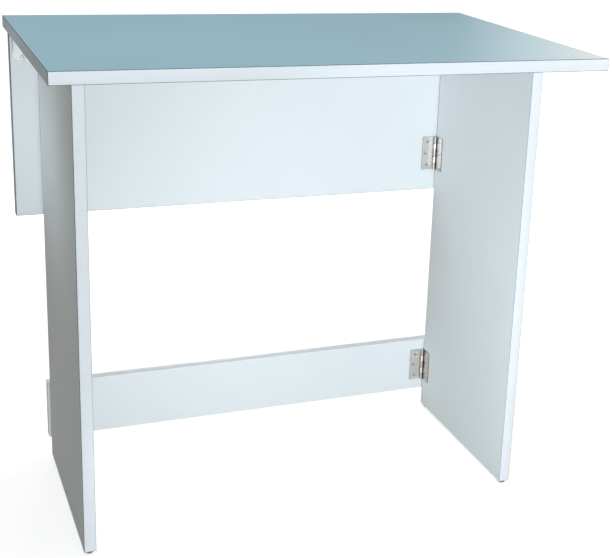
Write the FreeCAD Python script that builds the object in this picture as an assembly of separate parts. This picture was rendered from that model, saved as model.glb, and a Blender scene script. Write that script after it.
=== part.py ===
import FreeCAD, Part
import math
import os

# Folding desk of melamine-faced board: a lift-off top, a back frame and two legs that fold in.
# Millimetres. Origin on the floor under the middle of the top: +X right, +Y back, +Z up.

# Boards and their edge banding
BOARD = 18.0
BAND = 1.0
BAND_EASE = 0.5             # chamfer on the banding's outer arrises
EASE_LIMIT = 0.8            # largest share of the banding that the chamfer may take

# Desk top
TOP_WIDTH = 800.0
TOP_DEPTH = 500.0
DESK_HEIGHT = 745.0
REAR_OVERHANG = 47.0        # rear edge of the top to the back of the apron

# Legs
LEG_INSET = 44.0            # end of the top to the outer face of a leg
FOLDED_LEG_GAP = 25.2       # left between the two legs when both are folded in
LEG_TOP_GAP = 0.4           # a leg's clearance to the top above it
LEG_REAR_GAP = 1.0          # a leg's clearance to the boards behind it

# Apron and stretcher, which make the back frame
APRON_HEIGHT = 293.0
APRON_END_INSET = 2.0       # end of the top to the end of the apron
STRETCHER_HEIGHT = 100.0
STRETCHER_LIFT = 32.0       # underside of the legs to the underside of the stretcher
STRETCHER_PAST_LEG = 3.5    # how far the stretcher runs past the outer face of a leg

# Butt hinges in the inner corners
HINGE_HEIGHT = 60.0
LEAF_WIDTH = 23.5           # centre of the pin to the free edge of a leaf
LEAF_THICKNESS = 1.4
PIN_RADIUS = 1.5
PIN_FIT = 0.05              # pin to the flats of the rolled bore
BORE_SIDES = 24
PIN_STAND = 0.6             # how far the pin stands out of the end knuckles
KNUCKLES = 5
KNUCKLE_GAP = 0.4           # between neighbouring knuckles
KNUCKLE_RELIEF = 1.4        # between a leaf's notch and the knuckle that turns in it
BARREL_STAND_OFF = 0.4      # between the knuckles and the boards
ROLL_SEAM = 0.4             # slit where the rolled knuckle comes back to its leaf
ROLL_SEAM_ANGLE = 20.0
UPPER_HINGE_RISE = 67.5     # lower edge of the apron to the middle of an upper hinge

# Countersunk screws of the hinges and the brackets
FASTENER_SIDES = 8          # small fasteners and their pockets have flat sides
SCREW_RADIUS = 1.75
SCREW_BITE = 11.0           # how far a screw reaches into its board
SCREW_TIP = 3.0
SCREW_FIT = 0.05
LEAF_SCREW_FROM_END = 9.0   # end of a leaf to its outer screws
LEAF_SCREW_IN = 9.0         # free edge of a leaf to its outer screws
LEAF_MID_SCREW_IN = 6.0     # free edge of a leaf to its middle screw

# Moulded hook brackets under the ends of the top
BRACKET_SIDE_GAP = 6.0      # to the end of the apron's overhang and to the leg
BRACKET_WALL = 3.0
BRACKET_REACH = 30.0        # length of the shelf under the top
BRACKET_RIB = 2.4
BRACKET_RIB_DROP = 32.0
BRACKET_CORNER = 7.0
BRACKET_RUN_GAP = 0.4       # hook plate to the apron and to the head of the hook screw
BRACKET_SCREW_IN = 9.0      # front edge of the shelf to its screws
BRACKET_SCREW_SPACING = 15.0

# Hook screws, which stand out of the apron in the slots of the brackets
HOOK_DROP = 37.5            # underside of the top to the hook screw
HOOK_RADIUS = 2.4
HOOK_SLOT_GAP = 0.4
HOOK_LIP = 7.0              # hook screw to the lower edge of the bracket
RIM_HEIGHT = 2.5            # raised rims on both sides of the slot's mouth
RIM_STAND = 2.0
RIM_GAP = 0.6               # rims to the head of the hook screw as it passes
HOOK_HEAD_RADIUS = 4.2
HOOK_HEAD_HEIGHT = 2.6
HOOK_BITE = 12.0

# Nail-on glides under the legs
GLIDE_HEIGHT = 5.0
GLIDE_RADIUS = 6.0
GLIDE_FROM_EDGE = 9.0       # front or rear edge of a leg to the middle of a glide
GLIDE_SOLE = 2.0            # plastic under the nail's head
NAIL_RADIUS = 1.0
NAIL_HEAD_RADIUS = 3.0
NAIL_HEAD_HEIGHT = 1.0
NAIL_BITE = 13.0
NAIL_TIP = 2.0
NAIL_FIT = 0.05

# Levels and faces that follow from the sizes above
TOP_UNDERSIDE = DESK_HEIGHT - BOARD
APRON_FRONT = TOP_DEPTH / 2 - REAR_OVERHANG - BOARD
APRON_BOTTOM = TOP_UNDERSIDE - APRON_HEIGHT
APRON_END = TOP_WIDTH / 2 - APRON_END_INSET
LEG_OUTER = TOP_WIDTH / 2 - LEG_INSET
LEG_INNER = LEG_OUTER - BOARD
LEG_REAR = APRON_FRONT - LEG_REAR_GAP
LEG_DEPTH = LEG_INNER - LEG_REAR_GAP - FOLDED_LEG_GAP / 2
LEG_FRONT = LEG_REAR - LEG_DEPTH
STRETCHER_BOTTOM = GLIDE_HEIGHT + STRETCHER_LIFT
BARREL_RADIUS = PIN_RADIUS + PIN_FIT + LEAF_THICKNESS
AXIS_OFFSET = BARREL_RADIUS + BARREL_STAND_OFF
SCREW_HEAD_RADIUS = SCREW_RADIUS + LEAF_THICKNESS
HINGE_X = LEG_INNER - AXIS_OFFSET
HINGE_Y = APRON_FRONT - AXIS_OFFSET
HINGE_LEVELS = {
    "upper": APRON_BOTTOM + UPPER_HINGE_RISE,
    "lower": STRETCHER_BOTTOM + STRETCHER_HEIGHT / 2,
}
SIDES = {"left": -1, "right": 1}

X_AXIS = FreeCAD.Vector(1, 0, 0)
Y_AXIS = FreeCAD.Vector(0, 1, 0)
Z_AXIS = FreeCAD.Vector(0, 0, 1)
CUT_OVER = 1.0              # how far a cutting shape starts outside what it cuts


def block(low, high):
    """Box between two corners."""
    size = [b - a for a, b in zip(low, high)]
    return Part.makeBox(*size, FreeCAD.Vector(*low))


def flat_face(points):
    return Part.Face(Part.makePolygon(points + points[:1]))


def ring(radius, level, sides):
    """Corners of a flat-sided ring about Z."""
    turns = [2 * math.pi * i / sides for i in range(sides)]
    return [FreeCAD.Vector(radius * math.cos(a), radius * math.sin(a), level) for a in turns]


def fastener(profile):
    """Flat-sided solid about Z through (radius, height) points, from its head to its tip on the axis."""
    rings = [ring(radius, level, FASTENER_SIDES) for radius, level in profile[:-1]]
    tip = FreeCAD.Vector(0, 0, profile[-1][1])
    faces = [flat_face(rings[0])]
    for i in range(FASTENER_SIDES):
        faces += [flat_face([a[i - 1], a[i], b[i], b[i - 1]]) for a, b in zip(rings, rings[1:])]
        faces.append(flat_face([rings[-1][i - 1], rings[-1][i], tip]))
    shell = Part.makeShell(faces)
    shell.sewShape()
    return Part.makeSolid(shell)


def placed(shape, at, turn=FreeCAD.Rotation()):
    """Copy of a shape, turned about the origin and then moved."""
    moved = shape.copy()
    moved.Placement = FreeCAD.Placement(FreeCAD.Vector(*at), turn)
    return moved


def level_edges(shape, level):
    """Edges of a shape that lie at one height."""
    return [e for e in shape.Edges if max(abs(e.BoundBox.ZMin - level), abs(e.BoundBox.ZMax - level)) < 1e-6]


# Banded boards

def outline_arrises(strip, axis, plane, low, high):
    """Edges of a strip's outer face that lie on the outline of the whole board."""
    found = []
    for edge in strip.Edges:
        box = edge.BoundBox
        spans = ((box.XMin, box.XMax), (box.YMin, box.YMax), (box.ZMin, box.ZMax))
        flat = {i: a for i, (a, b) in enumerate(spans) if abs(b - a) < 1e-6}
        on_face = axis in flat and abs(flat[axis] - plane) < 1e-6
        on_outline = all(min(abs(a - low[i]), abs(a - high[i])) < 1e-6 for i, a in flat.items())
        if on_face and on_outline:
            found.append(edge)
    return found


def banded_board(low, high, sides):
    """Core of a board and one strip per banded side; the first strips run the full length."""
    core_low, core_high = list(low), list(high)
    strips = {}
    for name, axis, end in sides:
        strip_low, strip_high = list(core_low), list(core_high)
        if end < 0:
            strip_high[axis] = core_low[axis] = strip_low[axis] + BAND
            plane = low[axis]
        else:
            strip_low[axis] = core_high[axis] = strip_high[axis] - BAND
            plane = high[axis]
        strip = block(strip_low, strip_high)
        arrises = outline_arrises(strip, axis, plane, low, high)
        strips[name] = strip.makeChamfer(min(BAND_EASE, EASE_LIMIT * BAND), arrises)
    return block(core_low, core_high), strips


def desktop_board():
    half_width, half_depth = TOP_WIDTH / 2, TOP_DEPTH / 2
    low = (-half_width, -half_depth, TOP_UNDERSIDE)
    high = (half_width, half_depth, DESK_HEIGHT)
    return banded_board(low, high, (("front", 1, -1), ("rear", 1, 1), ("left", 0, -1), ("right", 0, 1)))


def apron_board():
    low = (-APRON_END, APRON_FRONT, APRON_BOTTOM)
    high = (APRON_END, APRON_FRONT + BOARD, TOP_UNDERSIDE)
    return banded_board(low, high, (("bottom", 2, -1), ("left", 0, -1), ("right", 0, 1)))


def stretcher_board():
    end = LEG_OUTER + STRETCHER_PAST_LEG
    low = (-end, APRON_FRONT, STRETCHER_BOTTOM)
    high = (end, APRON_FRONT + BOARD, STRETCHER_BOTTOM + STRETCHER_HEIGHT)
    return banded_board(low, high, (("top", 2, 1), ("bottom", 2, -1), ("left", 0, -1), ("right", 0, 1)))


def leg_board(side):
    near, far = sorted((side * LEG_INNER, side * LEG_OUTER))
    low = (near, LEG_FRONT, GLIDE_HEIGHT)
    high = (far, LEG_REAR, TOP_UNDERSIDE - LEG_TOP_GAP)
    return banded_board(low, high, (("front", 1, -1), ("rear", 1, 1), ("bottom", 2, -1)))


# Screws

def screw(length, fit=0.0):
    """Countersunk screw along +Z with its head flush at zero, larger all round by the fit."""
    head, shank = SCREW_HEAD_RADIUS + fit, SCREW_RADIUS + fit
    opening = [(head, -CUT_OVER)] if fit else []
    sink = SCREW_HEAD_RADIUS - SCREW_RADIUS
    return fastener(opening + [(head, 0), (shank, sink), (shank, length - SCREW_TIP), (0, length + fit)])


# Butt hinges

def knuckle_span(index):
    """Lower and upper level of a knuckle's share of the barrel, about the hinge's middle."""
    pitch = HINGE_HEIGHT / KNUCKLES
    return index * pitch - HINGE_HEIGHT / 2, (index + 1) * pitch - HINGE_HEIGHT / 2


def leaf_screw_places():
    """Screw heads on a leaf that runs along +X and lies on a board at +Y."""
    level = HINGE_HEIGHT / 2 - LEAF_SCREW_FROM_END
    face = AXIS_OFFSET - LEAF_THICKNESS
    outer, middle = LEAF_WIDTH - LEAF_SCREW_IN, LEAF_WIDTH - LEAF_MID_SCREW_IN
    return [(outer, face, -level), (middle, face, 0), (outer, face, level)]


def leaf_screws(fit=0.0):
    """The three screws of a leaf, or with a fit the pockets that they sit in."""
    into_board = FreeCAD.Rotation(X_AXIS, -90)
    return [placed(screw(LEAF_THICKNESS + SCREW_BITE, fit), at, into_board) for at in leaf_screw_places()]


def hinge_leaf(own):
    """Pressed leaf along +X on a board at +Y, with its own knuckles rolled round the Z axis."""
    half = HINGE_HEIGHT / 2
    plate = block((0, AXIS_OFFSET - LEAF_THICKNESS, -half), (LEAF_WIDTH, AXIS_OFFSET, half))
    barrel = Part.makeCylinder(BARREL_RADIUS, HINGE_HEIGHT, FreeCAD.Vector(0, 0, -half))
    leaf = plate.fuse(barrel)
    notch = BARREL_RADIUS + KNUCKLE_RELIEF
    for index in range(KNUCKLES):
        if index not in own:
            bottom, top = knuckle_span(index)
            low = (-notch, -notch, bottom - KNUCKLE_GAP / 2)
            high = (notch, AXIS_OFFSET + CUT_OVER, top + KNUCKLE_GAP / 2)
            leaf = leaf.cut(block(low, high))
    over = half + CUT_OVER
    bore_corner = (PIN_RADIUS + PIN_FIT) / math.cos(math.pi / BORE_SIDES)
    bore = flat_face(ring(bore_corner, -over, BORE_SIDES)).extrude(Z_AXIS * 2 * over)
    seam = block((0, -ROLL_SEAM / 2, -over), (notch, ROLL_SEAM / 2, over))
    seam = placed(seam, (0, 0, 0), FreeCAD.Rotation(Z_AXIS, ROLL_SEAM_ANGLE))
    return leaf.cut([bore, seam] + leaf_screws(SCREW_FIT)).removeSplitter()


def hinge_pin():
    """Pin about the hinge's middle."""
    length = HINGE_HEIGHT + 2 * PIN_STAND
    return Part.makeCylinder(PIN_RADIUS, length, FreeCAD.Vector(0, 0, -length / 2))


def leaf_turn(side, on_leg):
    """Turn that lays a leaf on the apron or stretcher, or on the inner face of a leg."""
    flip = FreeCAD.Rotation(Y_AXIS, 180 if (side > 0) != on_leg else 0)
    swing = FreeCAD.Rotation(Z_AXIS, -90 * side if on_leg else 0)
    return swing.multiply(flip)


# Brackets and hook screws

def bracket_middle(side):
    """Middle of the strip of apron between a leg and the end of the top."""
    return side * (TOP_WIDTH / 2 - LEG_INSET / 2)


def bracket_screw_places():
    """Screw heads under the bracket's shelf, in the bracket's own frame."""
    y = BRACKET_SCREW_IN - BRACKET_REACH
    return [(x, y, -BRACKET_WALL) for x in (-BRACKET_SCREW_SPACING / 2, BRACKET_SCREW_SPACING / 2)]


def bracket_screws(fit=0.0):
    """The two screws of a bracket, or with a fit the pockets that they sit in."""
    return [placed(screw(BRACKET_WALL + SCREW_BITE, fit), at) for at in bracket_screw_places()]


def hook_bracket():
    """Moulded corner with a shelf, a hook plate slotted from below and two ribs at its sides.

    The back of the hook plate is at Y zero and the top of the shelf at Z zero.
    """
    half = LEG_INSET / 2 - BRACKET_SIDE_GAP
    drop = HOOK_DROP + HOOK_LIP
    plate = block((-half, -BRACKET_WALL, -drop), (half, 0, 0))
    feet = [e for e in level_edges(plate, -drop) if e.BoundBox.YLength > BRACKET_WALL / 2]
    plate = plate.makeChamfer(BRACKET_CORNER, feet)
    shelf = block((-half, -BRACKET_REACH, -BRACKET_WALL), (half, 0, 0))
    body = plate.fuse(shelf)
    for x in (-half, half - BRACKET_RIB):
        corners = [(0, 0), (-BRACKET_REACH, 0), (-BRACKET_REACH, -BRACKET_WALL), (0, -BRACKET_RIB_DROP)]
        rib = flat_face([FreeCAD.Vector(x, y, z) for y, z in corners])
        body = body.fuse(rib.extrude(X_AXIS * BRACKET_RIB))
    rim_start, rim_end = HOOK_HEAD_RADIUS + RIM_GAP, half - BRACKET_CORNER
    for near, far in ((rim_start, rim_end), (-rim_end, -rim_start)):
        rim_low = (near, -BRACKET_WALL - RIM_STAND, -drop)
        body = body.fuse(block(rim_low, (far, -BRACKET_WALL, RIM_HEIGHT - drop)))
    slot = HOOK_RADIUS + HOOK_SLOT_GAP
    mouth = block((-slot, -BRACKET_REACH, -drop - CUT_OVER), (slot, CUT_OVER, -HOOK_DROP))
    slot_head = FreeCAD.Vector(0, CUT_OVER, -HOOK_DROP)
    crown = Part.makeCylinder(slot, BRACKET_REACH + CUT_OVER, slot_head, -Y_AXIS)
    return body.cut([mouth, crown] + bracket_screws(SCREW_FIT)).removeSplitter()


def hook_screw(fit=0.0):
    """Pan-head screw along +Z: its head stands in front of the hook plate, zero is the apron's face."""
    stand = BRACKET_WALL + 2 * BRACKET_RUN_GAP
    radius = HOOK_RADIUS + fit
    shank = fastener([(radius, -stand), (radius, HOOK_BITE - SCREW_TIP), (0, HOOK_BITE + fit)])
    crown = -stand - HOOK_HEAD_HEIGHT
    head = Part.makeCylinder(HOOK_HEAD_RADIUS, HOOK_HEAD_HEIGHT, FreeCAD.Vector(0, 0, crown))
    return shank.fuse(head)


def hook_screw_at(side, fit=0.0):
    at = (bracket_middle(side), APRON_FRONT, TOP_UNDERSIDE - HOOK_DROP)
    return placed(hook_screw(fit), at, FreeCAD.Rotation(X_AXIS, -90))


# Glides

def glide_nail(fit=0.0):
    """Nail with its head in the glide, pointing up into the leg."""
    shank, head = NAIL_RADIUS + fit, NAIL_HEAD_RADIUS + fit
    low, neck = GLIDE_SOLE - fit, GLIDE_SOLE + NAIL_HEAD_HEIGHT + fit
    tip = GLIDE_HEIGHT + NAIL_BITE + fit
    return fastener([(head, low), (head, neck), (shank, neck), (shank, tip - NAIL_TIP), (0, tip)])


def glide():
    """Round plastic glide, moulded over the nail's head."""
    return Part.makeCylinder(GLIDE_RADIUS, GLIDE_HEIGHT).cut(glide_nail(NAIL_FIT))


def glide_places(side):
    x = side * (LEG_INNER + LEG_OUTER) / 2
    return {"front": (x, LEG_FRONT + GLIDE_FROM_EDGE, 0), "rear": (x, LEG_REAR - GLIDE_FROM_EDGE, 0)}


# Assembly

def board_nodes(name, board, pockets):
    """Nodes of a banded board, bored for the screws and nails that go into it."""
    core, strips = board
    nodes = {f"{name}_panel": core.cut(pockets)}
    for side, strip in strips.items():
        nodes[f"{name}_{side}_band"] = strip.cut(pockets) if side == "bottom" else strip
    return nodes


def hinge_nodes():
    """Leaves and pins by node name, and the screws and pockets by the body that they are in."""
    nodes, screws, pockets = {}, {}, {}
    for side_name, side in SIDES.items():
        for level_name, level in HINGE_LEVELS.items():
            hinge = f"{side_name}_{level_name}_hinge"
            at = (side * HINGE_X, HINGE_Y, level)
            nodes[f"{hinge}_pin"] = placed(hinge_pin(), at)
            for on_leg in (False, True):
                own = range(0, KNUCKLES, 2) if on_leg else range(1, KNUCKLES, 2)
                turn = leaf_turn(side, on_leg)
                nodes[f"{hinge}_{'leg' if on_leg else 'frame'}_leaf"] = placed(hinge_leaf(own), at, turn)
                body = f"{side_name}_leg" if on_leg else "frame"
                place = FreeCAD.Placement(FreeCAD.Vector(*at), turn)
                for group, shapes in ((screws, leaf_screws()), (pockets, leaf_screws(SCREW_FIT))):
                    for shape in shapes:
                        shape.Placement = place.multiply(shape.Placement)
                    group.setdefault(body, []).extend(shapes)
    return nodes, screws, pockets


def bracket_nodes():
    """Brackets by node name, with their screws, the pockets in the top and the hook screws."""
    nodes, screws, pockets = {}, [], []
    for side_name, side in SIDES.items():
        at = FreeCAD.Vector(bracket_middle(side), APRON_FRONT - BRACKET_RUN_GAP, TOP_UNDERSIDE)
        place = FreeCAD.Placement(at, FreeCAD.Rotation())
        nodes[f"{side_name}_hook_bracket"] = placed(hook_bracket(), at)
        for group, shapes in ((screws, bracket_screws()), (pockets, bracket_screws(SCREW_FIT))):
            for shape in shapes:
                shape.Placement = place.multiply(shape.Placement)
            group.extend(shapes)
    return nodes, screws, pockets


def leg_nodes(side_name, screws, pockets):
    """One leg: its banded board, screws, glides and nails."""
    side = SIDES[side_name]
    places = glide_places(side)
    nail_pockets = [placed(glide_nail(NAIL_FIT), at) for at in places.values()]
    nodes = board_nodes(f"{side_name}_leg", leg_board(side), pockets + nail_pockets)
    nodes[f"{side_name}_leg_hinge_screws"] = Part.makeCompound(screws)
    for end, at in places.items():
        nodes[f"{side_name}_{end}_glide"] = placed(glide(), at)
    nails = [placed(glide_nail(), at) for at in places.values()]
    nodes[f"{side_name}_glide_nails"] = Part.makeCompound(nails)
    return nodes


def desk_nodes():
    """Every node of the desk."""
    nodes, screws, pockets = hinge_nodes()
    brackets, shelf_screws, top_pockets = bracket_nodes()
    hook_pockets = [hook_screw_at(side, SCREW_FIT) for side in SIDES.values()]
    nodes.update(brackets)
    nodes.update(board_nodes("desktop", desktop_board(), top_pockets))
    nodes.update(board_nodes("apron", apron_board(), pockets["frame"] + hook_pockets))
    nodes.update(board_nodes("stretcher", stretcher_board(), pockets["frame"]))
    for side_name in SIDES:
        body = f"{side_name}_leg"
        nodes.update(leg_nodes(side_name, screws[body], pockets[body]))
    nodes["frame_hinge_screws"] = Part.makeCompound(screws["frame"])
    nodes["bracket_screws"] = Part.makeCompound(shelf_screws)
    nodes["hook_screws"] = Part.makeCompound([hook_screw_at(side) for side in SIDES.values()])
    return nodes


os.makedirs("parts", exist_ok=True)
for node_name, node_shape in desk_nodes().items():
    node_shape.exportStep(f"parts/{node_name}.step")
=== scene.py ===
import math

import bmesh
import bpy
from bpy.props import FloatProperty, FloatVectorProperty, IntProperty, PointerProperty
from mathutils import Matrix, Vector


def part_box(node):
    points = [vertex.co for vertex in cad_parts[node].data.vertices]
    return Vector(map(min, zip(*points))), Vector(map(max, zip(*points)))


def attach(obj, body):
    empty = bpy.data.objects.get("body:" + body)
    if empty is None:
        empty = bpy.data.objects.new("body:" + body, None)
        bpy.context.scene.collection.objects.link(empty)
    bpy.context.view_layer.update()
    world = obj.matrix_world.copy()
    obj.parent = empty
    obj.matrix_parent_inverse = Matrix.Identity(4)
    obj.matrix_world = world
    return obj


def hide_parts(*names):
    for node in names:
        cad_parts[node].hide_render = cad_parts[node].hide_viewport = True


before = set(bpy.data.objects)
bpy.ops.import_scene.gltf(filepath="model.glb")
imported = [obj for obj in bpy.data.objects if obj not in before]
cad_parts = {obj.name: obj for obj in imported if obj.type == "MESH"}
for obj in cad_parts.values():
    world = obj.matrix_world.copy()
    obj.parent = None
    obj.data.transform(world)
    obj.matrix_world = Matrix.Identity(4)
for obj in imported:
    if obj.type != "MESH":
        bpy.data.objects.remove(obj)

bl_info = {
    "name": "Folding Desk",
    "version": (1, 0, 0),
    "blender": (4, 5, 0),
    "location": "View3D > Sidebar > Folding Desk",
    "description": "Finishes, hardware and studio for a folding desk",
    "category": "Object",
}

# Pieces and the bodies that carry them
SIDES = ("left", "right")
LEVELS = ("upper", "lower")
ENDS = ("front", "rear")
BOARDS = {
    "desktop": "desktop",
    "apron": "back_frame",
    "stretcher": "back_frame",
    "left_leg": "left_leg",
    "right_leg": "right_leg",
}

# A millimetre in metres, the gap within which two places are one, and a quarter turn in radians
MM = 0.001
TOUCH = 1e-6
QUARTER_TURN = math.pi / 2

# Steps of round forms, with angles in radians
EASE_STEPS = 3
PIN_STEPS = 32
GLIDE_STEPS = 48
DOME_ANGLES = (0.4, 0.8, 1.2, QUARTER_TURN)
SOLE_ANGLES = (0.0, 0.3, 0.6, 0.9, 1.2, QUARTER_TURN)

# Least turns between two faces that leave a sharp edge
BAND_SHARP = math.radians(20)
TURNED_SHARP = math.radians(35)

# Range that holds most values of a noise texture
NOISE_RANGE = (0.3, 0.7)

# How open a corner that takes painted shade and a clear face are, and the rays that find it out
OPEN_RANGE = (0.35, 0.85)
OPEN_RAYS = 8

# Least rise of the normal of a face that looks up
UPWARD = 0.9

# Photograph that the camera is fitted to, in pixels, and the width of the sensor in millimetres
PHOTO_WIDTH = 612
PHOTO_HEIGHT = 558
LENS_PIXELS = 1215.0
LENS_CENTRE_X = 384
LENS_CENTRE_Y = 225
SENSOR_WIDTH = 36.0

# Place, target and size of each lamp, in metres
LAMPS = {
    "key_light": ((-0.7, -5.0, 0.7), (0.0, 0.2, 0.45), 1.0),
    "overhead_light": ((-0.2, -0.1, 2.4), (-0.2, 0.0, 0.7), 1.6),
    "rear_light": ((0.45, 2.6, 0.3), (0.1, 0.2, 0.4), 0.8),
    "left_light": ((-0.66, 0.14, 0.61), (-0.356, 0.09, 0.58), 0.15),
    "edge_light": ((0.72, -0.62, 0.8), (0.36, -0.2, 0.7), 0.3),
    "bounce_light": ((-0.2, -0.45, 0.36), (0.34, -0.2, 0.2), 0.5),
}

# Floor and cards of the studio, in metres, each card with its reach from its own place
FLOOR_REACH = 30.0
REAR_CARD_PLACE = (1.7, 2.5, 1.5)
REAR_CARD_TURN = math.radians(-30)
REAR_CARD_X = (-3.8, 1.3)
REAR_CARD_Z = (-1.1, 2.6)
FLAG_PLACE = (-0.95, -0.4, 0.0)
FLAG_Y = (-0.9, 0.9)
FLAG_Z = (0.08, 0.48)


# Settings

def length(name, description, default, least=0.0):
    """Length setting in metres."""
    return FloatProperty(name=name, description=description, default=default, min=least, unit="LENGTH",
                         precision=5)


def angle(name, description, default):
    """Angle setting in radians."""
    return FloatProperty(name=name, description=description, default=default, subtype="ANGLE")


def share(name, description, default):
    """Setting between none and all."""
    return FloatProperty(name=name, description=description, default=default, min=0.0, max=1.0,
                         subtype="FACTOR")


def colour(name, description, default):
    """Colour setting in linear values."""
    return FloatVectorProperty(name=name, description=description, default=default, size=3, subtype="COLOR",
                               min=0.0, max=1.0)


def watts(name, description, default):
    """Power setting of a lamp."""
    return FloatProperty(name=name, description=description, default=default, min=0.0, unit="POWER")


def amount(name, description, default):
    """Plain number setting."""
    return FloatProperty(name=name, description=description, default=default)


def settings():
    """Settings of the desk in the current scene."""
    return bpy.context.scene.folding_desk


class DeskEdgeSizes(bpy.types.PropertyGroup):
    """Rounded edges and painted shade in tight corners"""
    ease: length("Ease", "Rounding of the banding's arrises", 0.8 * MM)
    # The corner reaches and depths set the painted shade in tight corners of the boards, mouldings and
    # fittings
    corner_shade_reach: length("Corner reach", "How far tight corners darken", 2.0 * MM)
    corner_shade_depth: share("Corner depth", "Share of light that tight corners lose", 0.55)
    metal_shade_reach: length("Metal corner reach", "How far tight corners of the fittings darken", 6.0 * MM)
    metal_shade_depth: share("Metal corner depth", "Share of light that the fittings' corners lose", 0.85)
    pin_dome: share("Pin dome", "Height of a pin's domed end as a share of its radius", 0.4)
    glide_ease: length("Glide ease", "Rounding of a glide's sole", 1.6 * MM)


class DeskScrewSizes(bpy.types.PropertyGroup):
    """Heads and recesses of the screws"""
    head_radius: length("Head radius", "Radius of a countersunk head", 3.3 * MM)
    head_rise: length("Head rise", "Height of a countersunk head over its seat", 0.25 * MM)
    shank_radius: length("Shank radius", "Radius of a screw's shank", 1.6 * MM)
    tip_start: share("Tip start", "Share of a screw's length at which its tip starts", 0.8)
    head_turn: angle("Head turn", "Turn of the recess from one screw to the next", 0.7)
    recess_reach: length("Recess reach", "Middle of a cross recess to the end of an arm", 1.75 * MM)
    recess_width: length("Recess width", "Width of an arm of a cross recess", 0.75 * MM)
    recess_depth: length("Recess depth", "Depth of a cross recess", 0.9 * MM)
    recess_taper: share("Recess taper", "Size of a recess at its bottom as a share of its top", 0.6)
    pan_radius: length("Pan head radius", "Radius of a hook screw's head", 4.2 * MM)
    pan_flat: share("Pan head flat", "Flat of a hook screw's head as a share of its radius", 0.6)
    pan_dome: length("Pan head dome", "Height of the domed rim of a hook screw's head", 1.6 * MM)
    pan_height: length("Pan head height", "Height of a hook screw's head", 2.6 * MM)
    hook_radius: length("Hook shank radius", "Radius of a hook screw's shank", 2.4 * MM)
    hook_tip: length("Hook tip", "Length of a hook screw's tip", 3.0 * MM)
    segments: IntProperty(name="Segments", description="Steps round a screw", default=32, min=8)


class DeskColours(bpy.types.PropertyGroup):
    """Finishes of the desk, and colours of painted shade"""
    facing: colour("Facing", "White melamine facing of the boards", (0.83, 0.85, 0.86))
    # Painted cool shade: the top's white facing, darker and bluer on its upward faces only
    top_upper_shade: colour("Top facing", "Pale blue-grey facing on the upper face of the top", (0.44, 0.64, 0.72))
    edging: colour("Edging", "White edge banding", (0.92, 0.94, 0.97))
    # Painted shade: the ends of the top and the apron have the same white edging, darkened grey because they
    # stand in shade
    top_end_shade: colour("Top end edging", "Grey edge banding on the ends of the top", (0.47, 0.53, 0.57))
    apron_end_shade: colour("Apron end edging", "Grey edge banding on the ends of the apron", (0.22, 0.26, 0.30))
    # Painted shade along the arrises of the banding: dark on the outer, shaded sides and paler on the inner,
    # lit sides of the legs
    dark_arris_shade: colour("Dark arris", "Trimmed arrises of the top, the apron and the outer ones of the legs",
                       (0.12, 0.15, 0.17))
    pale_arris_shade: colour("Pale arris", "Trimmed inner arrises of the legs", (0.46, 0.49, 0.50))
    chipboard: colour("Chipboard", "Bare chipboard of the unbanded edges", (0.50, 0.36, 0.21))
    nickel: colour("Nickel", "Nickel plate of the hinges", (0.86, 0.83, 0.79))
    # Painted shade: the leg leaves are the same nickel as the others, darkened because they face away from
    # the light
    leg_nickel_shade: colour("Dull nickel", "Nickel plate of the leaves on the legs", (0.52, 0.50, 0.48))
    zinc: colour("Zinc", "Zinc plate of the screws", (0.64, 0.63, 0.61))
    recess: colour("Recess", "Unlit recesses of the screws", (0.30, 0.30, 0.30))
    enamel: colour("White enamel", "Hook screws", (0.88, 0.86, 0.82))
    plastic: colour("White plastic", "Moulded brackets", (0.94, 0.92, 0.88))
    glide: colour("Grey plastic", "Glides under the legs", (0.20, 0.22, 0.22))


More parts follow.
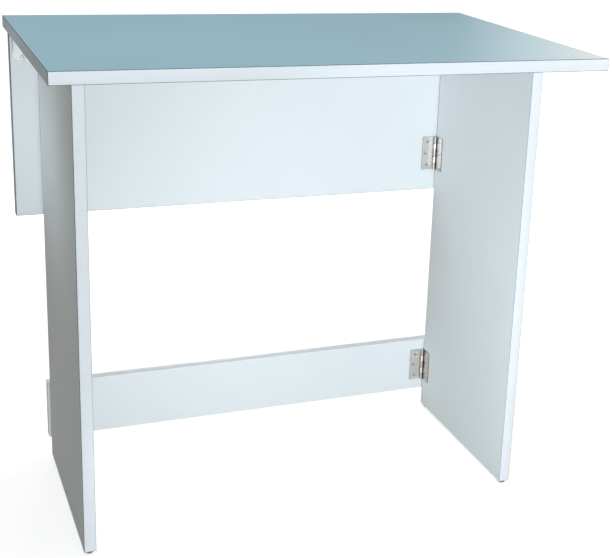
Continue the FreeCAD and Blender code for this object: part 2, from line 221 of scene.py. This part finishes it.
class DeskStageSettings(bpy.types.PropertyGroup):
    """Camera, lights and floor"""
    eye: FloatVectorProperty(name="Eye", description="Place of the camera", size=3, subtype="TRANSLATION",
                             default=(-0.5988, -1.7498, 1.0176))
    pitch: angle("Pitch", "How far the camera looks up", math.radians(-17.04))
    yaw: angle("Yaw", "How far the camera is turned to the left", math.radians(-23.52))
    roll: angle("Roll", "How far the camera leans", math.radians(2.82))
    focal: amount("Focal length", "Millimetres from the lens to the sensor",
                  LENS_PIXELS / PHOTO_WIDTH * SENSOR_WIDTH)
    shift_x: amount("Shift X", "Sideways shift of the lens", (PHOTO_WIDTH / 2 - LENS_CENTRE_X) / PHOTO_WIDTH)
    shift_y: amount("Shift Y", "Upward shift of the lens", (LENS_CENTRE_Y - PHOTO_HEIGHT / 2) / PHOTO_WIDTH)
    key_power: watts("Key power", "Light in front", 119.0)
    key_colour: colour("Key colour", "Light in front, behind and before the corner", (0.84, 0.93, 1.0))
    overhead_power: watts("Overhead power", "Light overhead", 21.0)
    overhead_colour: colour("Overhead colour", "Light overhead", (0.80, 0.92, 1.0))
    rear_power: watts("Rear power", "Low light behind the desk", 16.0)
    rear_spread: angle("Rear spread", "Spread of the light behind the desk", math.radians(110))
    left_power: watts("Left power", "Small light beside the rear of the left leg", 0.062)
    left_colour: colour("Left colour", "Small light beside the rear of the left leg", (0.86, 0.97, 1.0))
    left_spread: angle("Left spread", "Spread of the light beside the left leg", math.radians(80))
    edge_power: watts("Edge power", "Small light before the right front corner", 0.65)
    bounce_power: watts("Bounce power", "Soft light between the legs", 1.6)
    bounce_colour: colour("Bounce colour", "Soft light between the legs", (0.77, 0.89, 0.98))
    bounce_spread: angle("Bounce spread", "Spread of the light between the legs", math.radians(155))
    ambient: amount("Ambient", "Strength of the light from all sides", 0.3)
    ambient_colour: colour("Ambient colour", "Light from all sides", (0.92, 0.97, 1.0))
    card_base: amount("Card base", "Strength of the rear card at its left end", 0.14)
    card_glow: amount("Card glow", "Strength that the rear card gains to its right end", 2.3)
    card_start: length("Card start", "Place along the rear card where it starts to brighten", -0.16, -4.0)
    card_end: length("Card end", "Place along the rear card where it is brightest", 0.6)
    card_colour: colour("Card colour", "Right end of the rear card", (1.0, 0.77, 0.52))
    flag_colour: colour("Flag colour", "Low dark card at the left", (0.08, 0.05, 0.02))
    floor_colour: colour("Floor colour", "Floor as the lamps light it", (0.61, 0.56, 0.48))
    floor_glow: amount("Floor glow", "Strength of the white that the floor shows near the desk", 0.73)
    floor_glow_colour: colour("Floor glow colour", "White that evens out the lit floor", (0.95, 0.97, 1.0))
    floor_near: length("Floor near", "Reach from the origin within which the floor glows least", 0.6)
    floor_far: length("Floor far", "Reach from the origin past which the floor is white", 2.4)


# Nodes of the materials

def feed(tree, term, socket):
    """Link a node's output to a socket, or set a plain value on it."""
    if isinstance(term, bpy.types.NodeSocket):
        tree.links.new(term, socket)
    else:
        socket.default_value = term


def show(tree, surface):
    """Make a shader the surface of a material."""
    output = next(node for node in tree.nodes if node.type == "OUTPUT_MATERIAL")
    tree.links.new(surface, output.inputs["Surface"])


def new_material(name):
    """Node material with its tree, principled shader and object coordinates."""
    material = bpy.data.materials.new(name)
    material.use_nodes = True
    tree = material.node_tree
    tree.nodes.clear()
    tree.nodes.new("ShaderNodeOutputMaterial")
    shader = tree.nodes.new("ShaderNodeBsdfPrincipled")
    show(tree, shader.outputs["BSDF"])
    place = tree.nodes.new("ShaderNodeTexCoord")
    return material, tree, shader, place.outputs["Object"]


def reckon(tree, operation, *terms, clamp=False):
    """Math over linked and plain values."""
    node = tree.nodes.new("ShaderNodeMath")
    node.operation = operation
    node.use_clamp = clamp
    for term, socket in zip(terms, node.inputs):
        feed(tree, term, socket)
    return node.outputs["Value"]


def ranged(tree, value, source, result):
    """Value moved from a source range to a result range."""
    node = tree.nodes.new("ShaderNodeMapRange")
    for name, limit in zip(("From Min", "From Max", "To Min", "To Max"), (*source, *result)):
        node.inputs[name].default_value = limit
    tree.links.new(value, node.inputs["Value"])
    return node.outputs["Result"]


def blend(tree, factor, first, second):
    """Mix of two linked or plain colours."""
    mix = tree.nodes.new("ShaderNodeMix")
    mix.data_type = "RGBA"
    tree.links.new(factor, mix.inputs["Factor"])
    feed(tree, first, mix.inputs["A"])
    feed(tree, second, mix.inputs["B"])
    return mix.outputs["Result"]


def coordinate(tree, vector, axis):
    """One coordinate of a vector."""
    parts = tree.nodes.new("ShaderNodeSeparateXYZ")
    tree.links.new(vector, parts.inputs["Vector"])
    return parts.outputs[axis]


def noise(tree, place, scale, detail=3.0, stretch=(1.0, 1.0, 1.0)):
    """Noise texture over object coordinates that are stretched first."""
    mapping = tree.nodes.new("ShaderNodeMapping")
    mapping.inputs["Scale"].default_value = stretch
    tree.links.new(place, mapping.inputs["Vector"])
    texture = tree.nodes.new("ShaderNodeTexNoise")
    texture.inputs["Scale"].default_value = scale
    texture.inputs["Detail"].default_value = detail
    tree.links.new(mapping.outputs["Vector"], texture.inputs["Vector"])
    return texture.outputs["Fac"]


def shaded(tree, value, rgb, depth):
    """Colour that a noise value darkens by a share."""
    dark = [channel * (1 - depth) for channel in rgb]
    return blend(tree, ranged(tree, value, NOISE_RANGE, (0.0, 1.0)), (*dark, 1), (*rgb, 1))


def painted_corner_shade(tree, tint, reach, depth):
    """Colour with painted shade: darker in tight corners and slits."""
    corner_openness = tree.nodes.new("ShaderNodeAmbientOcclusion")
    corner_openness.samples = OPEN_RAYS
    corner_openness.inputs["Distance"].default_value = reach
    level = ranged(tree, corner_openness.outputs["AO"], OPEN_RANGE, (1 - depth, 1.0))
    scale = tree.nodes.new("ShaderNodeVectorMath")
    scale.operation = "SCALE"
    tree.links.new(tint, scale.inputs["Vector"])
    tree.links.new(level, scale.inputs["Scale"])
    return scale.outputs["Vector"]


def coloured_with_corner_shade(tree, shader, tint):
    """Colour of a board or a moulding, with painted shade in its tight corners."""
    edges = settings().edges
    tree.links.new(painted_corner_shade(tree, tint, edges.corner_shade_reach, edges.corner_shade_depth), shader.inputs["Base Color"])


def sheened(tree, shader, value, low, high):
    """Roughness that follows a noise value."""
    tree.links.new(ranged(tree, value, NOISE_RANGE, (low, high)), shader.inputs["Roughness"])


def bumped(tree, shader, value, strength, distance):
    """Relief of a noise value on a shader's surface."""
    bump = tree.nodes.new("ShaderNodeBump")
    bump.inputs["Strength"].default_value = strength
    bump.inputs["Distance"].default_value = distance
    tree.links.new(value, bump.inputs["Height"])
    tree.links.new(bump.outputs["Normal"], shader.inputs["Normal"])


# Finishes of the desk

def clouds(tree, place, rgb):
    """Melamine: faint clouds in its colour."""
    return shaded(tree, noise(tree, place, scale=9.0, detail=4.0), rgb, depth=0.015)


def chips(tree, place, rgb):
    """Pressed wood chips: patches of two browns."""
    texture = tree.nodes.new("ShaderNodeTexVoronoi")
    texture.inputs["Scale"].default_value = 450.0
    tree.links.new(place, texture.inputs["Vector"])
    parts = tree.nodes.new("ShaderNodeSeparateColor")
    tree.links.new(texture.outputs["Color"], parts.inputs["Color"])
    return shaded(tree, parts.outputs["Red"], rgb, depth=0.45)


def facing_material(name, rgb, sheen, gloss, upper=None, upper_rgb=None):
    """Melamine with a fine pearl in the surface and an even sheen.

    With an upper pattern and its colour, faces that look up have these; on the top that colour is painted
    cool shade.
    """
    material, tree, shader, place = new_material(name)
    tint = clouds(tree, place, rgb)
    if upper:
        normal = place.node.outputs["Normal"]
        upward = reckon(tree, "GREATER_THAN", coordinate(tree, normal, "Z"), UPWARD)
        tint = blend(tree, upward, tint, upper(tree, place, upper_rgb))
    coloured_with_corner_shade(tree, shader, tint)
    sheened(tree, shader, noise(tree, place, scale=6.0, detail=1.0), low=sheen, high=sheen + 0.03)
    shader.inputs["Specular IOR Level"].default_value = gloss
    pearl = noise(tree, place, scale=1400.0, detail=2.0)
    bumped(tree, shader, pearl, strength=0.12, distance=0.2 * MM)
    return material


def edging_material(name, rgb):
    """Edge banding: smoother than the facing, with fine drawn lines."""
    material, tree, shader, place = new_material(name)
    lines = noise(tree, place, scale=260.0, stretch=(0.05, 0.05, 1.0))
    coloured_with_corner_shade(tree, shader, shaded(tree, lines, rgb, depth=0.03))
    sheened(tree, shader, lines, low=0.50, high=0.58)
    shader.inputs["Specular IOR Level"].default_value = 0.1
    bumped(tree, shader, noise(tree, place, scale=700.0), strength=0.08, distance=0.2 * MM)
    return material


def metal_material(name, rgb, low, high, grain=(1.0, 1.0, 1.0)):
    """Plated steel with a fine grain in its colour and sheen, and painted shade in its tight corners."""
    material, tree, shader, place = new_material(name)
    streaks = noise(tree, place, scale=500.0, detail=4.0, stretch=grain)
    edges = settings().edges
    tint = shaded(tree, streaks, rgb, depth=0.12)
    # Painted shade: the fittings darken in their tight corners
    tint = painted_corner_shade(tree, tint, edges.metal_shade_reach, edges.metal_shade_depth)
    tree.links.new(tint, shader.inputs["Base Color"])
    sheened(tree, shader, streaks, low, high)
    shader.inputs["Metallic"].default_value = 0.9
    bumped(tree, shader, streaks, strength=0.05, distance=0.1 * MM)
    return material


def plastic_material(name, rgb, roughness):
    """Moulded plastic with a soft grain."""
    material, tree, shader, place = new_material(name)
    coloured_with_corner_shade(tree, shader, shaded(tree, noise(tree, place, scale=60.0), rgb, depth=0.05))
    sheened(tree, shader, noise(tree, place, scale=200.0), low=roughness - 0.06, high=roughness + 0.06)
    bumped(tree, shader, noise(tree, place, scale=900.0), strength=0.15, distance=0.2 * MM)
    return material


# Finishes of the studio

def seen_rays(tree):
    """One for rays that show the background: from the camera, a mirror or a glass."""
    rays = tree.nodes.new("ShaderNodeLightPath").outputs
    total = rays["Is Camera Ray"]
    for ray in ("Is Glossy Ray", "Is Transmission Ray"):
        total = reckon(tree, "ADD", total, rays[ray], clamp=True)
    return total


def matt_material(name, rgb, scale, depth):
    """Matt sheet with faint clouds in its colour."""
    material, tree, shader, place = new_material(name)
    tree.links.new(shaded(tree, noise(tree, place, scale), rgb, depth), shader.inputs["Base Color"])
    shader.inputs["Roughness"].default_value = 0.9
    shader.inputs["Specular IOR Level"].default_value = 0.0
    return material, tree, shader, place


def floor_material(stage):
    """Pale floor that shows near white and keeps the shadow of the desk."""
    material, tree, shader, place = matt_material("pale_floor", stage.floor_colour, scale=3.0, depth=0.02)
    away = tree.nodes.new("ShaderNodeVectorMath")
    away.operation = "LENGTH"
    tree.links.new(place, away.inputs[0])
    white = ranged(tree, away.outputs["Value"], (stage.floor_near, stage.floor_far), (stage.floor_glow, 1.0))
    glow = tree.nodes.new("ShaderNodeEmission")
    glow.inputs["Color"].default_value = (*stage.floor_glow_colour, 1)
    tree.links.new(reckon(tree, "MULTIPLY", seen_rays(tree), white), glow.inputs["Strength"])
    total = tree.nodes.new("ShaderNodeAddShader")
    tree.links.new(shader.outputs["BSDF"], total.inputs[0])
    tree.links.new(glow.outputs["Emission"], total.inputs[1])
    show(tree, total.outputs["Shader"])
    return material


def card_material(stage):
    """Glow that grows and warms along the card's own X."""
    material, tree, shader, place = new_material("graded_card")
    tree.nodes.remove(shader)
    bright = ranged(tree, coordinate(tree, place, "X"), (stage.card_start, stage.card_end), (0.0, 1.0))
    glow = tree.nodes.new("ShaderNodeEmission")
    tint = blend(tree, bright, (*stage.ambient_colour, 1), (*stage.card_colour, 1))
    tree.links.new(tint, glow.inputs["Color"])
    level = reckon(tree, "MULTIPLY_ADD", bright, stage.card_glow, stage.card_base)
    tree.links.new(level, glow.inputs["Strength"])
    show(tree, glow.outputs["Emission"])
    return material


# Meshes

def dress(node, material):
    """Give a CAD node its finish."""
    node.data.materials.clear()
    node.data.materials.append(material)


def islands(node):
    """Boxes of the separate solids in a CAD node."""
    work = bmesh.new()
    work.from_mesh(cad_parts[node].data)
    bmesh.ops.remove_doubles(work, verts=work.verts, dist=TOUCH)
    left = set(work.verts)
    boxes = []
    while left:
        todo, found = [left.pop()], []
        while todo:
            vert = todo.pop()
            found.append(vert.co.copy())
            near = {edge.other_vert(vert) for edge in vert.link_edges} & left
            left -= near
            todo.extend(near)
        low = Vector([min(point[i] for point in found) for i in range(3)])
        high = Vector([max(point[i] for point in found) for i in range(3)])
        boxes.append((low, high))
    work.free()
    return sorted(boxes, key=lambda box: tuple(box[0]))


def screw_places(node, way):
    """Place of the head and length of each screw in a CAD node, with tips along an axis way."""
    axis = max(range(3), key=lambda i: abs(way[i]))
    places = []
    for low, high in islands(node):
        head = (low + high) / 2
        head[axis] = low[axis] if way[axis] > 0 else high[axis]
        places.append((head, high[axis] - low[axis]))
    return places


def along(way, place):
    """Transform that lays +Z along a direction and moves to a place."""
    turn = Vector((0, 0, 1)).rotation_difference(Vector(way)).to_matrix().to_4x4()
    return Matrix.Translation(place) @ turn


def settle(work, matrix):
    """Move the form that was made last, and mark it as placed."""
    fresh = [vert for vert in work.verts if not vert.tag]
    bmesh.ops.transform(work, matrix=matrix, verts=fresh)
    for vert in work.verts:
        vert.tag = True


def lathe(work, profile, segments, matrix):
    """Turned form about Z from (radius, height) points."""
    verts = [work.verts.new((radius, 0, height)) for radius, height in profile]
    edges = [work.edges.new(pair) for pair in zip(verts, verts[1:])]
    bmesh.ops.spin(work, geom=verts + edges, cent=(0, 0, 0), axis=(0, 0, 1), angle=math.tau,
                   steps=segments, use_merge=True)
    settle(work, matrix)


def ring(work, points):
    """Verts and edges of a closed loop through points."""
    verts = [work.verts.new(point) for point in points]
    return verts, [work.edges.new((verts[i - 1], verts[i])) for i in range(len(verts))]


def cross_head(work, sizes, radius, matrix):
    """Flat head with a cross recess: rim at Z zero, recess towards +Z."""
    turns = [math.tau * i / sizes.segments for i in range(sizes.segments)]
    rim_edges = ring(work, [(radius * math.cos(turn), radius * math.sin(turn), 0) for turn in turns])[1]
    half, reach = sizes.recess_width / 2, sizes.recess_reach
    arm = [Vector(corner) for corner in ((reach, -half, 0), (reach, half, 0), (half, half, 0))]
    quarters = [Matrix.Rotation(QUARTER_TURN * i, 3, "Z") for i in range(4)]
    mouth, mouth_edges = ring(work, [quarter @ corner for quarter in quarters for corner in arm])
    bmesh.ops.triangle_fill(work, edges=rim_edges + mouth_edges, use_beauty=True)
    taper = sizes.recess_taper
    sunk = [work.verts.new((vert.co.x * taper, vert.co.y * taper, sizes.recess_depth)) for vert in mouth]
    recess = [work.faces.new((mouth[i - 1], mouth[i], sunk[i], sunk[i - 1])) for i in range(len(sunk))]
    for face in recess + [work.faces.new(sunk)]:
        face.material_index = 1
    settle(work, matrix)


def finish_piece(name, work, materials, body, replaced, sharp=TURNED_SHARP):
    """Object from a finished mesh that rides on a body and stands for a CAD node."""
    bmesh.ops.remove_doubles(work, verts=work.verts, dist=TOUCH / 10)
    bmesh.ops.recalc_face_normals(work, faces=work.faces)
    mesh = bpy.data.meshes.new(name)
    work.to_mesh(mesh)
    work.free()
    for material in materials:
        mesh.materials.append(material)
    mesh.shade_smooth()
    mesh.set_sharp_from_angle(angle=sharp)
    piece = bpy.data.objects.new(name, mesh)
    bpy.context.scene.collection.objects.link(piece)
    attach(piece, body)
    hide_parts(replaced)


# Pieces

class DESK_OT_boards(bpy.types.Operator):
    """Finish the boards and their edge banding"""
    bl_idname = "folding_desk.boards"
    bl_label = "Boards"

    def execute(self, context):
        colours = settings().colours
        matt = {"sheen": 0.65, "gloss": 0.1}
        glossy = {"sheen": 0.30, "gloss": 0.5}
        cut = facing_material("white_melamine_cut", colours.facing, **matt, upper=chips,
                              upper_rgb=colours.chipboard)
        facings = {
            # The top's upward faces take painted cool shade in blue-grey
            "desktop": facing_material("top_melamine_painted_shade", colours.facing, **glossy, upper=clouds,
                                       upper_rgb=colours.top_upper_shade),
            "stretcher": facing_material("white_melamine", colours.facing, **matt),
        }
        edging = edging_material("white_edging", colours.edging)
        # The grey end edging is painted shade on white edging
        ends = {
            "desktop": edging_material("top_end_shade_edging", colours.top_end_shade),
            "apron": edging_material("apron_end_shade_edging", colours.apron_end_shade),
        }
        # Arris colours are painted shade, dark on shaded sides and pale on lit ones
        dark = edging_material("dark_arris_painted_shade", colours.dark_arris_shade)
        pale = edging_material("pale_arris_painted_shade", colours.pale_arris_shade)
        trims = {
            "desktop": [dark, dark],
            "apron": [dark, dark],
            "stretcher": [edging, edging],
            "left_leg": [dark, pale],
            "right_leg": [dark, pale],
        }
        for board, body in BOARDS.items():
            dress(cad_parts[f"{board}_panel"], facings.get(board, cut))
            self.bands(board, body, edging, ends.get(board, edging), trims[board])
        return {"FINISHED"}

    def bands(self, board, body, edging, ends, trims):
        """Strips with rounded arrises for a board's plain ones, with painted shade on the outer and on the
        inner arrises.
        """
        strips = [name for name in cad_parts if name.startswith(board) and name.endswith("_band")]
        boxes = [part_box(name) for name in strips]
        low = [min(near[i] for near, far in boxes) for i in range(3)]
        high = [max(far[i] for near, far in boxes) for i in range(3)]
        high = [max(pair) for pair in zip(high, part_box(f"{board}_panel")[1])]
        middle = abs(low[0] + high[0]) / 2
        for name, (near, far) in zip(strips, boxes):
            size = far - near
            axis = min(range(3), key=lambda i: size[i])
            outer = low[axis] if abs(near[axis] - low[axis]) < TOUCH else high[axis]
            work = bmesh.new()
            block = Matrix.Translation((near + far) / 2) @ Matrix.Diagonal((*size, 1))
            bmesh.ops.create_cube(work, size=1.0, matrix=block)
            arrises = [edge for edge in work.edges if self.on_outline(edge, axis, outer, low, high)]
            made = bmesh.ops.bevel(work, geom=arrises, offset=settings().edges.ease, offset_type="OFFSET",
                                   segments=EASE_STEPS, profile=0.5, affect="EDGES", material=-1)
            for face in made["faces"]:
                # Outer arrises take the first painted shade, inner ones the second
                face.material_index = 1 if abs(face.calc_center_median().x) > middle - TOUCH else 2
            # Strips across X, on the ends, take the end edging, which on the top and the apron is painted
            # shade
            tape = ends if axis == 0 else edging
            finish_piece(f"{name}_eased", work, [tape, *trims], body, name, BAND_SHARP)

    def on_outline(self, edge, axis, outer, low, high):
        """Whether an edge of a strip's outer face lies on the outline of its board."""
        start, end = [vert.co for vert in edge.verts]
        if max(abs(start[axis] - outer), abs(end[axis] - outer)) > TOUCH:
            return False
        flat = [i for i in range(3) if i != axis and abs(start[i] - end[i]) < TOUCH]
        return all(min(abs(start[i] - low[i]), abs(start[i] - high[i])) < TOUCH for i in flat)


class DESK_OT_hinges(bpy.types.Operator):
    """Finish the hinge leaves and round the ends of their pins"""
    bl_idname = "folding_desk.hinges"
    bl_label = "Hinges"

    def execute(self, context):
        colours = settings().colours
        rolled = {"low": 0.16, "high": 0.26, "grain": (1.0, 1.0, 0.1)}
        nickel = metal_material("nickel_steel", colours.nickel, **rolled)
        # The leg leaves take painted shade: the same nickel, darker
        shaded_leaves = metal_material("shaded_leg_nickel_steel", colours.leg_nickel_shade, **rolled)
        for side in SIDES:
            for level in LEVELS:
                hinge = f"{side}_{level}_hinge"
                dress(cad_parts[f"{hinge}_frame_leaf"], nickel)
                dress(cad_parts[f"{hinge}_leg_leaf"], shaded_leaves)
                self.pin(f"{hinge}_pin", nickel)
        return {"FINISHED"}

    def pin(self, node, material):
        """Pin with domed ends in the place of the plain one."""
        low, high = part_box(node)
        middle = (low + high) / 2
        radius = (high.x - low.x) / 2
        dome = radius * settings().edges.pin_dome
        profile = [(0, low.z)]
        profile += [(radius * math.sin(turn), low.z + dome * (1 - math.cos(turn))) for turn in DOME_ANGLES]
        profile += [(reach, high.z + low.z - height) for reach, height in reversed(profile)]
        work = bmesh.new()
        lathe(work, profile, PIN_STEPS, Matrix.Translation((middle.x, middle.y, 0)))
        finish_piece(f"{node}_domed", work, [material], "back_frame", node)


class DESK_OT_screws(bpy.types.Operator):
    """Make the countersunk screws with cross recesses"""
    bl_idname = "folding_desk.screws"
    bl_label = "Screws"

    def execute(self, context):
        colours = settings().colours
        zinc = metal_material("zinc_steel", colours.zinc, low=0.25, high=0.40)
        # The cross recesses are darker than the zinc: painted shade
        recess = metal_material("screw_recess", colours.recess, low=0.40, high=0.60)
        self.group("frame_hinge_screws", (0, 1, 0), "back_frame", [zinc, recess])
        self.group("left_leg_hinge_screws", (-1, 0, 0), "left_leg", [zinc, recess])
        self.group("right_leg_hinge_screws", (1, 0, 0), "right_leg", [zinc, recess])
        self.group("bracket_screws", (0, 0, 1), "desktop", [zinc, recess])
        return {"FINISHED"}

    def group(self, node, way, body, materials):
        """Every screw of a CAD node as one piece."""
        sizes = settings().screws
        face = sizes.head_radius - sizes.head_rise
        rise = Matrix.Translation((0, 0, -sizes.head_rise))
        work = bmesh.new()
        for number, (head, reach) in enumerate(screw_places(node, way)):
            matrix = along(way, head) @ Matrix.Rotation(sizes.head_turn * number, 4, "Z")
            cross_head(work, sizes, face, matrix @ rise)
            profile = [
                (face, -sizes.head_rise),
                (sizes.head_radius, 0),
                (sizes.shank_radius, sizes.head_radius - sizes.shank_radius),
                (sizes.shank_radius, reach * sizes.tip_start),
                (0, reach),
            ]
            lathe(work, profile, sizes.segments, matrix)
        finish_piece(f"{node}_recessed", work, materials, body, node)


class DESK_OT_brackets(bpy.types.Operator):
    """Finish the hook brackets and make the pan-head hook screws"""
    bl_idname = "folding_desk.brackets"
    bl_label = "Brackets"

    def execute(self, context):
        colours = settings().colours
        plastic = plastic_material("white_plastic", colours.plastic, roughness=0.4)
        for side in SIDES:
            dress(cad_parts[f"{side}_hook_bracket"], plastic)
        enamel = plastic_material("white_steel", colours.enamel, roughness=0.35)
        self.hook_screws([enamel, bpy.data.materials["screw_recess"]])
        return {"FINISHED"}

    def hook_screws(self, materials):
        """Domed heads with a cross recess on plain shanks."""
        sizes = settings().screws
        flat = sizes.pan_radius * sizes.pan_flat
        rim = sizes.pan_radius - flat
        work = bmesh.new()
        for head, reach in screw_places("hook_screws", (0, 1, 0)):
            matrix = along((0, 1, 0), head)
            cross_head(work, sizes, flat, matrix)
            profile = [(flat + rim * math.sin(turn), sizes.pan_dome * (1 - math.cos(turn)))
                       for turn in (0.0, *DOME_ANGLES)]
            profile += [
                (sizes.pan_radius, sizes.pan_height),
                (sizes.hook_radius, sizes.pan_height),
                (sizes.hook_radius, reach - sizes.hook_tip),
                (0, reach),
            ]
            lathe(work, profile, sizes.segments, matrix)
        finish_piece("hook_screws_domed", work, materials, "back_frame", "hook_screws")


class DESK_OT_glides(bpy.types.Operator):
    """Make the glides with rounded soles, on nails of plain zinc"""
    bl_idname = "folding_desk.glides"
    bl_label = "Glides"

    def execute(self, context):
        grey = plastic_material("grey_plastic", settings().colours.glide, roughness=0.5)
        # The frame brings a plain zinc of this name, and the nails have that one
        zinc = bpy.data.materials["zinc_steel"]
        for side in SIDES:
            dress(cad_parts[f"{side}_glide_nails"], zinc)
            for end in ENDS:
                self.glide(f"{side}_{end}_glide", f"{side}_leg", grey)
        return {"FINISHED"}

    def glide(self, node, body, material):
        """Glide with a rounded sole in the place of the plain one."""
        low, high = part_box(node)
        middle = (low + high) / 2
        radius = (high.x - low.x) / 2
        ease = settings().edges.glide_ease
        sole = radius - ease
        profile = [(0, 0)]
        profile += [(sole + ease * math.sin(turn), ease * (1 - math.cos(turn))) for turn in SOLE_ANGLES]
        profile += [(radius, high.z), (0, high.z)]
        work = bmesh.new()
        lathe(work, profile, GLIDE_STEPS, Matrix.Translation((middle.x, middle.y, 0)))
        finish_piece(f"{node}_rounded", work, [material], body, node)


# Stage

class DESK_OT_stage(bpy.types.Operator):
    """Make the floor, the lights, the surroundings and the camera"""
    bl_idname = "folding_desk.stage"
    bl_label = "Stage"

    def execute(self, context):
        stage = settings().stage
        self.floor(stage)
        self.surroundings(context.scene, stage)
        self.light("key_light", stage.key_power, stage.key_colour)
        self.light("overhead_light", stage.overhead_power, stage.overhead_colour)
        self.light("rear_light", stage.rear_power, stage.key_colour, stage.rear_spread)
        self.light("left_light", stage.left_power, stage.left_colour, stage.left_spread)
        self.light("edge_light", stage.edge_power, stage.key_colour)
        self.light("bounce_light", stage.bounce_power, stage.bounce_colour, stage.bounce_spread)
        self.rear_card(stage)
        self.flag(stage)
        self.camera(context.scene, stage)
        context.scene.view_settings.view_transform = "Standard"
        return {"FINISHED"}

    def sheet(self, name, corners, material):
        """Flat sheet of the studio."""
        work = bmesh.new()
        work.faces.new([work.verts.new(corner) for corner in corners])
        mesh = bpy.data.meshes.new(name)
        work.to_mesh(mesh)
        work.free()
        mesh.materials.append(material)
        sheet = bpy.data.objects.new(name, mesh)
        bpy.context.scene.collection.objects.link(sheet)
        return sheet

    def floor(self, stage):
        """Wide floor under the desk."""
        reach = FLOOR_REACH
        corners = ((-reach, -reach, 0), (reach, -reach, 0), (reach, reach, 0), (-reach, reach, 0))
        self.sheet("floor", corners, floor_material(stage))

    def rear_card(self, stage):
        """Upright card behind the desk, brighter towards its right end, that the top reflects."""
        (left, right), (low, high) = REAR_CARD_X, REAR_CARD_Z
        corners = ((left, 0, low), (right, 0, low), (right, 0, high), (left, 0, high))
        card = self.sheet("rear_card", corners, card_material(stage))
        card.location = REAR_CARD_PLACE
        card.rotation_euler.z = REAR_CARD_TURN
        card.visible_camera = False
        card.visible_shadow = False

    def flag(self, stage):
        """Low dark card at the left that keeps light off the left leg."""
        (near, far), (low, high) = FLAG_Y, FLAG_Z
        corners = ((0, near, low), (0, far, low), (0, far, high), (0, near, high))
        material = matt_material("flag", stage.flag_colour, scale=20.0, depth=0.1)[0]
        flag = self.sheet("flag", corners, material)
        flag.location = FLAG_PLACE
        flag.visible_camera = False

    def surroundings(self, scene, stage):
        """White where they are seen or mirrored, a soft cool light for everything else."""
        world = bpy.data.worlds.new("studio")
        scene.world = world
        world.use_nodes = True
        tree = world.node_tree
        tree.nodes.clear()
        mix = tree.nodes.new("ShaderNodeMixShader")
        tree.links.new(seen_rays(tree), mix.inputs["Fac"])
        for rgb, strength, socket in ((stage.ambient_colour, stage.ambient, 1), ((1, 1, 1), 1.0, 2)):
            light = tree.nodes.new("ShaderNodeBackground")
            light.inputs["Color"].default_value = (*rgb, 1)
            light.inputs["Strength"].default_value = strength
            tree.links.new(light.outputs["Background"], mix.inputs[socket])
        output = tree.nodes.new("ShaderNodeOutputWorld")
        tree.links.new(mix.outputs["Shader"], output.inputs["Surface"])

    def light(self, name, power, rgb, spread=math.pi):
        """Square lamp at its place, turned to its target."""
        place, target, size = LAMPS[name]
        data = bpy.data.lights.new(name, "AREA")
        data.shape = "SQUARE"
        data.size = size
        data.energy = power
        data.color = rgb
        data.spread = spread
        lamp = bpy.data.objects.new(name, data)
        lamp.location = place
        lamp.rotation_euler = (Vector(target) - Vector(place)).to_track_quat("-Z", "Y").to_euler()
        lamp.visible_camera = False
        bpy.context.scene.collection.objects.link(lamp)

    def camera(self, scene, stage):
        """Camera at the photograph's angle."""
        data = bpy.data.cameras.new("camera")
        data.sensor_width = SENSOR_WIDTH
        data.lens = stage.focal
        data.shift_x = stage.shift_x
        data.shift_y = stage.shift_y
        pitch, yaw, roll = stage.pitch, stage.yaw, stage.roll
        ahead = Vector((-math.sin(yaw) * math.cos(pitch), math.cos(yaw) * math.cos(pitch), math.sin(pitch)))
        right = Vector((math.cos(yaw), math.sin(yaw), 0))
        up = right.cross(ahead)
        across = math.cos(roll) * right + math.sin(roll) * up
        upward = -math.sin(roll) * right + math.cos(roll) * up
        turn = Matrix((across, upward, -ahead)).transposed()
        camera = bpy.data.objects.new("camera", data)
        camera.matrix_world = Matrix.Translation(stage.eye) @ turn.to_4x4()
        scene.collection.objects.link(camera)
        scene.camera = camera


# Sidebar

class FoldingDesk(bpy.types.PropertyGroup):
    """All settings of the desk"""
    edges: PointerProperty(type=DeskEdgeSizes)
    screws: PointerProperty(type=DeskScrewSizes)
    colours: PointerProperty(type=DeskColours)
    stage: PointerProperty(type=DeskStageSettings)


class DESK_PT_panel(bpy.types.Panel):
    """Settings and steps of the desk"""
    bl_idname = "DESK_PT_panel"
    bl_label = "Folding Desk"
    bl_space_type = "VIEW_3D"
    bl_region_type = "UI"
    bl_category = "Folding Desk"

    def draw(self, context):
        desk = context.scene.folding_desk
        for group in (desk.edges, desk.screws, desk.colours, desk.stage):
            box = self.layout.box()
            for name in group.bl_rna.properties.keys():
                if name not in ("rna_type", "name"):
                    box.prop(group, name)
        for operator in OPERATORS:
            self.layout.operator(operator.bl_idname)


OPERATORS = (DESK_OT_boards, DESK_OT_hinges, DESK_OT_screws, DESK_OT_brackets, DESK_OT_glides, DESK_OT_stage)
GROUPS = (DeskEdgeSizes, DeskScrewSizes, DeskColours, DeskStageSettings, FoldingDesk)
CLASSES = (*GROUPS, *OPERATORS, DESK_PT_panel)


def register():
    """Add the classes and the settings."""
    for item in CLASSES:
        bpy.utils.register_class(item)
    bpy.types.Scene.folding_desk = PointerProperty(type=FoldingDesk)


def unregister():
    """Take the settings and the classes away."""
    del bpy.types.Scene.folding_desk
    for item in reversed(CLASSES):
        bpy.utils.unregister_class(item)


def main():
    """Make every piece and the stage."""
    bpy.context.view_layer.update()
    register()
    bpy.ops.folding_desk.boards()
    bpy.ops.folding_desk.hinges()
    bpy.ops.folding_desk.screws()
    bpy.ops.folding_desk.brackets()
    bpy.ops.folding_desk.glides()
    bpy.ops.folding_desk.stage()


if __name__ == "__main__":
    main()
